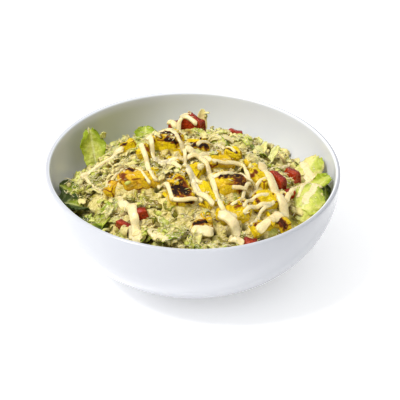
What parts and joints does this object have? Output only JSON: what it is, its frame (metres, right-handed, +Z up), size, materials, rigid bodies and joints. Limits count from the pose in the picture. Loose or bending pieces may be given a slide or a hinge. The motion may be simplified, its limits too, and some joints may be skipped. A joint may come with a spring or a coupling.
{
  "type": "chicken caesar salad",
  "caption": "Chicken caesar salad in a deep round white bowl: a heap of dressed chopped lettuce with grilled chicken pieces, diced tomato and squeezed dressing.",
  "frame": {"origin": "centre of the bowl's foot, on the surface that the bowl stands on", "axes": "+Z up out of the bowl, -Y towards the side that is seen first, +X to that viewer's right"},
  "size_m": [0.21, 0.21, 0.099],
  "materials": {
    "porcelain": "glossy white glazed porcelain",
    "lettuce": "dressed chopped lettuce with finely grated cheese and cream dressing",
    "chicken": "grilled chicken breast, yellow to golden brown with charred edges",
    "tomato": "wet diced tomato",
    "dressing": "thick cream-coloured dressing"
  },
  "bodies": {
    "root": {"bowl": "porcelain", "chicken_1": "chicken", "chicken_2": "chicken", "chicken_3": "chicken", "chicken_4": "chicken", "chicken_5": "chicken", "chicken_6": "chicken", "chicken_7": "chicken", "chicken_8": "chicken", "chicken_9": "chicken", "chicken_10": "chicken", "chicken_11": "chicken", "chicken_12": "chicken", "chicken_13": "chicken", "chicken_14": "chicken", "chicken_15": "chicken", "chicken_16": "chicken", "chicken_17": "chicken", "chicken_18": "chicken", "tomato_1": "tomato", "tomato_2": "tomato", "tomato_3": "tomato", "tomato_4": "tomato", "tomato_5": "tomato", "tomato_6": "tomato", "tomato_7": "tomato", "tomato_8": "tomato", "tomato_9": "tomato", "salad": "lettuce"}
  },
  "joints": []
}
